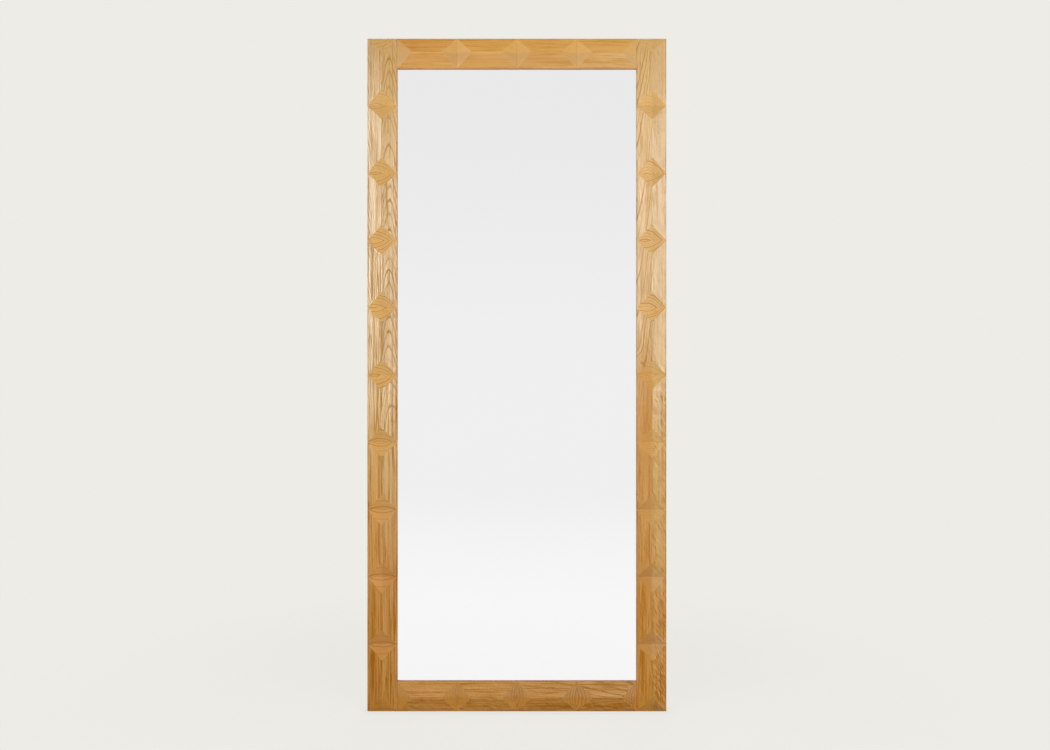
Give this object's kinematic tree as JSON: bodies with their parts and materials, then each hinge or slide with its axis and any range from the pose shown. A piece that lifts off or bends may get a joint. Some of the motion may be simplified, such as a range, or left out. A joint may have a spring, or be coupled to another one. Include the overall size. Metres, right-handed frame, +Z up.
{
  "type": "floor mirror",
  "caption": "Tall floor mirror in a solid oak frame carved in a row of hipped blocks, with swinging hanging rings and rubber wall bumpers on the back.",
  "frame": {"origin": "on the floor under the middle of the frame, halfway between the carved ridges and the faces of the wall bumpers", "axes": "+X to the right as seen from the front, +Y backwards to the wall, +Z up; the mirror faces -Y"},
  "size_m": [0.8, 0.053, 1.8],
  "materials": {
    "oak": "oiled and waxed, satin",
    "beech": "plain turned",
    "silvered_glass": "polished float glass, silvered behind",
    "glazing_tape": "matte foam tape",
    "setting_block": "matte rubber",
    "fibreboard": "raw medium density fibreboard",
    "zinc_steel": "zinc plated",
    "screw_steel": "zinc plated",
    "bumper_rubber": "matte rubber"
  },
  "bodies": {
    "frame": {"stile_left": "oak", "stile_right": "oak", "rail_top": "oak", "rail_bottom": "oak", "dowels_top_left": "beech", "dowels_top_right": "beech", "dowels_bottom_left": "beech", "dowels_bottom_right": "beech", "glazing_tape_left": "glazing_tape", "glazing_tape_right": "glazing_tape", "glazing_tape_top": "glazing_tape", "glazing_tape_bottom": "glazing_tape", "setting_blocks": "setting_block", "spacers_left": "setting_block", "spacers_right": "setting_block", "spacers_top": "setting_block", "mirror_glass": "silvered_glass", "back_panel": "fibreboard", "wall_bumper_top_left": "bumper_rubber", "wall_bumper_top_right": "bumper_rubber", "wall_bumper_bottom_left": "bumper_rubber", "wall_bumper_bottom_right": "bumper_rubber", "hanger_strap_left": "zinc_steel", "hanger_strap_right": "zinc_steel", "panel_side_screws": "screw_steel", "panel_end_screws": "screw_steel", "hanger_screws_left": "screw_steel", "hanger_screws_right": "screw_steel", "bumper_screws": "screw_steel"},
    "ring_left": {"hanger_ring_left": "zinc_steel"},
    "ring_right": {"hanger_ring_right": "zinc_steel"}
  },
  "joints": [
    {"name": "left_ring_swing", "type": "hinge", "parent": "frame", "child": "ring_left", "pos_m": [-0.373, 0.02153, 1.5], "axis": [1, 0, 0], "range_deg": [0, 175]},
    {"name": "right_ring_swing", "type": "hinge", "parent": "frame", "child": "ring_right", "pos_m": [0.373, 0.02153, 1.5], "axis": [1, 0, 0], "range_deg": [0, 175]}
  ]
}
